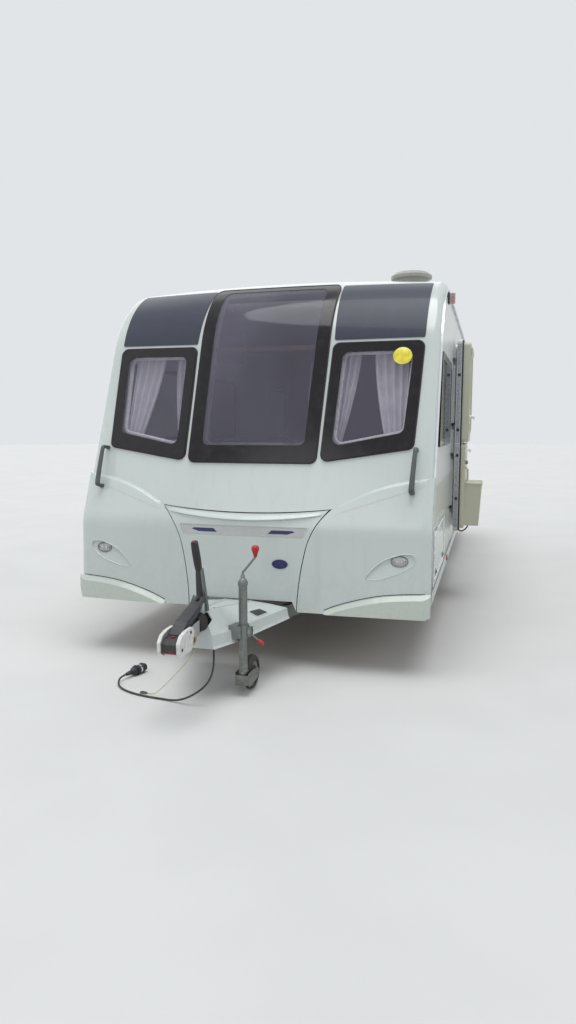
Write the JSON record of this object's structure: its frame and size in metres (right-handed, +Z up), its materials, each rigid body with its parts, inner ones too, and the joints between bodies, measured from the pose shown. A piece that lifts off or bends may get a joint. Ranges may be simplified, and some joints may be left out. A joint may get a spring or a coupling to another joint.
{
  "type": "touring caravan",
  "caption": "Single-axle travel caravan with a raked panoramic front, folded-back entrance door, gas locker lid, covered drawbar with ball coupling, and jockey wheel.",
  "frame": {"origin": "centre of the tow ball held in the coupling head, 430 mm above the ground", "axes": "+X forward along the drawbar, +Y to the caravan's left, +Z up; the tow ball's neck leaves the socket along -Z"},
  "size_m": [7.3148, 2.607, 2.608],
  "materials": {
    "white_moulding": "glossy white moulded plastic, slightly dusty",
    "bumper_moulding": "glossy off-white moulding",
    "body_skin": "white painted aluminium sheet",
    "window_border": "near-black gloss border",
    "smoked_acrylic": "grey-violet tinted acrylic",
    "dark_panel": "charcoal gloss",
    "lamp_lens": "clear and coloured lenses",
    "black_plastic": "satin black plastic",
    "rail_aluminium": "satin anodised extrusion",
    "arch_plastic": "textured black plastic",
    "floor_board": "plywood sandwich board",
    "vent_plastic": "white moulded louvres",
    "galvanised_steel": "dull galvanised steel",
    "rubber_bellows": "black ribbed rubber",
    "coupling_paint": "black painted casting with white side caps",
    "cover_plastic": "off-white moulded plastic with grime",
    "dome_plastic": "white moulded plastic",
    "cabin_wood": "light brown wood-grain board",
    "seat_fabric": "grey-brown woven upholstery",
    "curtain_fabric": "pale lilac-grey cloth",
    "cable_rubber": "black sheath",
    "plug_plastic": "black plug with grey contact end",
    "breakaway_coating": "red plastic coated wire",
    "door_liner_plastic": "cream moulded inner panel",
    "tyre_rubber": "black road tyre",
    "wheel_alloy": "silver painted alloy",
    "jockey_rubber": "solid rubber tyre on a grey hub"
  },
  "bodies": {
    "caravan": {"front_panel": "white_moulding", "front_bumpers": "bumper_moulding", "front_window_frames": "window_border", "front_window_panes": "smoked_acrylic", "front_dark_panels": "dark_panel", "lamps": "lamp_lens", "grab_handles": "black_plastic", "roof_panel": "body_skin", "rear_panel": "white_moulding", "rear_bumper": "bumper_moulding", "side_wall_left": "body_skin", "side_wall_right": "body_skin", "window_frames": "window_border", "window_panes": "smoked_acrylic", "awning_rails": "rail_aluminium", "side_skirts": "rail_aluminium", "wheel_arches": "arch_plastic", "floor_panel": "floor_board", "locker_bulkhead": "floor_board", "hatch_frames": "white_moulding", "wall_vents": "vent_plastic", "door_frame": "rail_aluminium", "axle_beam": "galvanised_steel", "chassis_frame": "galvanised_steel", "overrun_housing": "galvanised_steel", "bellows": "rubber_bellows", "coupling_head": "coupling_paint", "stabiliser_handle": "black_plastic", "handbrake_lever": "black_plastic", "drawbar_cover": "cover_plastic", "jockey_clamp": "galvanised_steel", "jockey_tube": "galvanised_steel", "aerial_dome": "dome_plastic", "rooflights": "dome_plastic", "furniture": "cabin_wood", "seat_cushions": "seat_fabric", "curtains": "curtain_fabric", "towing_cable": "cable_rubber", "towing_plug": "plug_plastic", "breakaway_cable": "breakaway_coating", "breakaway_clip": "galvanised_steel"},
    "door": {"door_slab": "body_skin", "door_liner": "door_liner_plastic", "door_pane": "smoked_acrylic", "door_bin": "door_liner_plastic"},
    "gas_locker_lid": {"gas_locker_lid": "white_moulding"},
    "side_locker_hatch": {"side_locker_hatch": "white_moulding"},
    "service_hatch": {"service_hatch": "white_moulding"},
    "wheel_left": {"tyre_left": "tyre_rubber", "alloy_wheel_left": "wheel_alloy"},
    "wheel_right": {"tyre_right": "tyre_rubber", "alloy_wheel_right": "wheel_alloy"},
    "jockey_fork": {"jockey_fork": "galvanised_steel"},
    "jockey_wheel": {"jockey_wheel": "jockey_rubber"},
    "front_steady_left": {"front_steady_left": "galvanised_steel"},
    "front_steady_right": {"front_steady_right": "galvanised_steel"},
    "rear_steady_left": {"rear_steady_left": "galvanised_steel"},
    "rear_steady_right": {"rear_steady_right": "galvanised_steel"}
  },
  "joints": [
    {"name": "door_hinge", "type": "hinge", "parent": "caravan", "child": "door", "pos_m": [-3.56, 1.157, 0.97], "axis": [0, 0, 1], "range_deg": [0, 180]},
    {"name": "gas_locker_lid_hinge", "type": "hinge", "parent": "caravan", "child": "gas_locker_lid", "pos_m": [-1.05, 0, 0.57], "axis": [0, -1, 0], "range_deg": [0, 75]},
    {"name": "side_locker_hinge", "type": "hinge", "parent": "caravan", "child": "side_locker_hatch", "pos_m": [-1.735, 1.156, 0.41], "axis": [1, 0, 0], "range_deg": [0, 110]},
    {"name": "service_hatch_hinge", "type": "hinge", "parent": "caravan", "child": "service_hatch", "pos_m": [-6.43, -1.156, 0.42], "axis": [-1, 0, 0], "range_deg": [0, 110]},
    {"name": "wheel_left_spin", "type": "hinge", "parent": "caravan", "child": "wheel_left", "pos_m": [-4.65, 0.95, -0.105], "axis": [0, 1, 0], "continuous": true},
    {"name": "wheel_right_spin", "type": "hinge", "parent": "caravan", "child": "wheel_right", "pos_m": [-4.65, -0.95, -0.105], "axis": [0, 1, 0], "continuous": true},
    {"name": "jockey_swivel", "type": "hinge", "parent": "caravan", "child": "jockey_fork", "pos_m": [-0.452, 0.191, -0.33], "axis": [0, 0, 1], "continuous": true},
    {"name": "jockey_wheel_spin", "type": "hinge", "parent": "jockey_fork", "child": "jockey_wheel", "pos_m": [-0.58, 0.191, -0.335], "axis": [0, 1, 0], "continuous": true},
    {"name": "front_steady_left_hinge", "type": "hinge", "parent": "caravan", "child": "front_steady_left", "pos_m": [-1.84, 0.615, -0.052], "axis": [-1, 0, 0], "range_deg": [0, 54]},
    {"name": "front_steady_right_hinge", "type": "hinge", "parent": "caravan", "child": "front_steady_right", "pos_m": [-1.84, -0.615, -0.052], "axis": [1, 0, 0], "range_deg": [0, 54]},
    {"name": "rear_steady_left_hinge", "type": "hinge", "parent": "caravan", "child": "rear_steady_left", "pos_m": [-6.8, 0.615, -0.052], "axis": [-1, 0, 0], "range_deg": [0, 54]},
    {"name": "rear_steady_right_hinge", "type": "hinge", "parent": "caravan", "child": "rear_steady_right", "pos_m": [-6.8, -0.615, -0.052], "axis": [1, 0, 0], "range_deg": [0, 54]}
  ]
}
